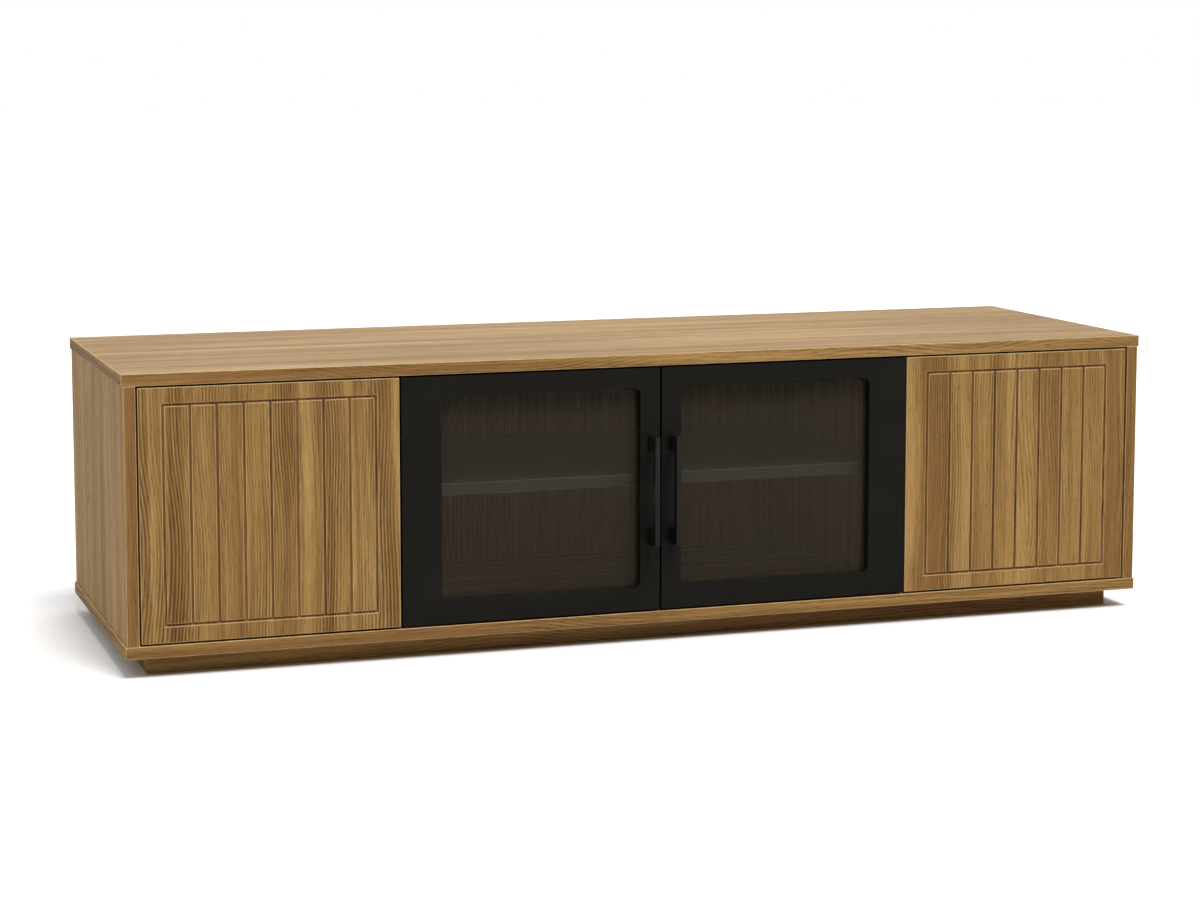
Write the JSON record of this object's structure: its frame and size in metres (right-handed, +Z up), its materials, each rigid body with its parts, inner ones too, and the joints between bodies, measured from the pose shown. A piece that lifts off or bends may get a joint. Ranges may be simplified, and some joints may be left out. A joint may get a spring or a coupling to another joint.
{
  "type": "media cabinet",
  "caption": "Low media cabinet on a recessed plinth: routed oak outer doors, black framed tinted glass centre doors with bar handles, shelves and cable outlets.",
  "frame": {"origin": "on the floor under the middle of the whole object, handles included", "axes": "+X along the width to the viewer's right, +Y from the doors to the back, +Z up"},
  "size_m": [1.65, 0.559, 0.448],
  "materials": {
    "oak_veneer": "satin lacquered oak veneer",
    "shelf_laminate": "dark matt laminate",
    "black_lacquer": "satin black lacquer",
    "tinted_glass": "clear bronze grey tint",
    "handle_metal": "satin black",
    "hinge_steel": "nickel plated",
    "latch_plastic": "matt grey"
  },
  "bodies": {
    "carcass": {"top_board": "oak_veneer", "bottom_board": "oak_veneer", "side_panel_left": "oak_veneer", "side_panel_right": "oak_veneer", "partition_left": "oak_veneer", "partition_right": "oak_veneer", "back_panel_left": "oak_veneer", "back_panel_centre": "oak_veneer", "back_panel_right": "oak_veneer", "plinth_front": "oak_veneer", "plinth_back": "oak_veneer", "plinth_left": "oak_veneer", "plinth_right": "oak_veneer", "plinth_centre_rail": "oak_veneer", "shelf_left": "shelf_laminate", "shelf_centre": "shelf_laminate", "shelf_right": "shelf_laminate", "shelf_pin_left_front": "hinge_steel", "shelf_pin_left_back": "hinge_steel", "shelf_pin_right_front": "hinge_steel", "shelf_pin_right_back": "hinge_steel", "oak_left_hinge_arm_lower": "hinge_steel", "oak_left_hinge_arm_upper": "hinge_steel", "oak_right_hinge_arm_lower": "hinge_steel", "oak_right_hinge_arm_upper": "hinge_steel", "glass_left_hinge_arm_lower": "hinge_steel", "glass_left_hinge_arm_upper": "hinge_steel", "glass_right_hinge_arm_lower": "hinge_steel", "glass_right_hinge_arm_upper": "hinge_steel", "push_latch_housing_left": "latch_plastic", "push_latch_housing_right": "latch_plastic"},
    "oak_left_door": {"oak_door_left": "oak_veneer", "oak_left_hinge_cup_lower": "hinge_steel", "oak_left_hinge_cup_upper": "hinge_steel"},
    "oak_left_links": {"oak_left_hinge_link_lower": "hinge_steel", "oak_left_hinge_link_upper": "hinge_steel"},
    "oak_right_door": {"oak_door_right": "oak_veneer", "oak_right_hinge_cup_lower": "hinge_steel", "oak_right_hinge_cup_upper": "hinge_steel"},
    "oak_right_links": {"oak_right_hinge_link_lower": "hinge_steel", "oak_right_hinge_link_upper": "hinge_steel"},
    "glass_left_door": {"glass_door_frame_left": "black_lacquer", "glass_pane_left": "tinted_glass", "glass_retainer_left": "black_lacquer", "handle_left": "handle_metal", "glass_left_hinge_cup_lower": "hinge_steel", "glass_left_hinge_cup_upper": "hinge_steel"},
    "glass_left_links": {"glass_left_hinge_link_lower": "hinge_steel", "glass_left_hinge_link_upper": "hinge_steel"},
    "glass_right_door": {"glass_door_frame_right": "black_lacquer", "glass_pane_right": "tinted_glass", "glass_retainer_right": "black_lacquer", "handle_right": "handle_metal", "glass_right_hinge_cup_lower": "hinge_steel", "glass_right_hinge_cup_upper": "hinge_steel"},
    "glass_right_links": {"glass_right_hinge_link_lower": "hinge_steel", "glass_right_hinge_link_upper": "hinge_steel"},
    "push_latch_left": {"push_latch_plunger_left": "latch_plastic"},
    "push_latch_right": {"push_latch_plunger_right": "latch_plastic"}
  },
  "joints": [
    {"name": "oak_left_door_hinge", "type": "hinge", "parent": "carcass", "child": "oak_left_door", "pos_m": [-0.7915, -0.239, 0.239], "axis": [0, 0, -1], "range_deg": [0, 95]},
    {"name": "oak_left_link_pivot", "type": "hinge", "parent": "carcass", "child": "oak_left_links", "pos_m": [-0.769, -0.2295, 0.239], "axis": [0, 0, -1], "range_deg": [-42, 0]},
    {"name": "oak_right_door_hinge", "type": "hinge", "parent": "carcass", "child": "oak_right_door", "pos_m": [0.7915, -0.239, 0.239], "axis": [0, 0, 1], "range_deg": [0, 95]},
    {"name": "oak_right_link_pivot", "type": "hinge", "parent": "carcass", "child": "oak_right_links", "pos_m": [0.769, -0.2295, 0.239], "axis": [0, 0, 1], "range_deg": [-42, 0]},
    {"name": "glass_left_door_hinge", "type": "hinge", "parent": "carcass", "child": "glass_left_door", "pos_m": [-0.4, -0.239, 0.239], "axis": [0, 0, -1], "range_deg": [0, 95]},
    {"name": "glass_left_link_pivot", "type": "hinge", "parent": "carcass", "child": "glass_left_links", "pos_m": [-0.3775, -0.2295, 0.239], "axis": [0, 0, -1], "range_deg": [-42, 0]},
    {"name": "glass_right_door_hinge", "type": "hinge", "parent": "carcass", "child": "glass_right_door", "pos_m": [0.4, -0.239, 0.239], "axis": [0, 0, 1], "range_deg": [0, 95]},
    {"name": "glass_right_link_pivot", "type": "hinge", "parent": "carcass", "child": "glass_right_links", "pos_m": [0.3775, -0.2295, 0.239], "axis": [0, 0, 1], "range_deg": [-42, 0]},
    {"name": "push_latch_left_slide", "type": "slide", "parent": "carcass", "child": "push_latch_left", "axis": [0, -1, 0], "range_m": [0, 0.02]},
    {"name": "push_latch_right_slide", "type": "slide", "parent": "carcass", "child": "push_latch_right", "axis": [0, -1, 0], "range_m": [0, 0.02]}
  ],
  "couplings": [
    {"joint": "oak_left_link_pivot", "follows": "oak_left_door_hinge", "ratio": -0.43},
    {"joint": "oak_right_link_pivot", "follows": "oak_right_door_hinge", "ratio": -0.43},
    {"joint": "glass_left_link_pivot", "follows": "glass_left_door_hinge", "ratio": -0.43},
    {"joint": "glass_right_link_pivot", "follows": "glass_right_door_hinge", "ratio": -0.43},
    {"joint": "push_latch_left_slide", "follows": "oak_left_door_hinge", "m_per_rad": 0.012},
    {"joint": "push_latch_right_slide", "follows": "oak_right_door_hinge", "m_per_rad": 0.012}
  ]
}
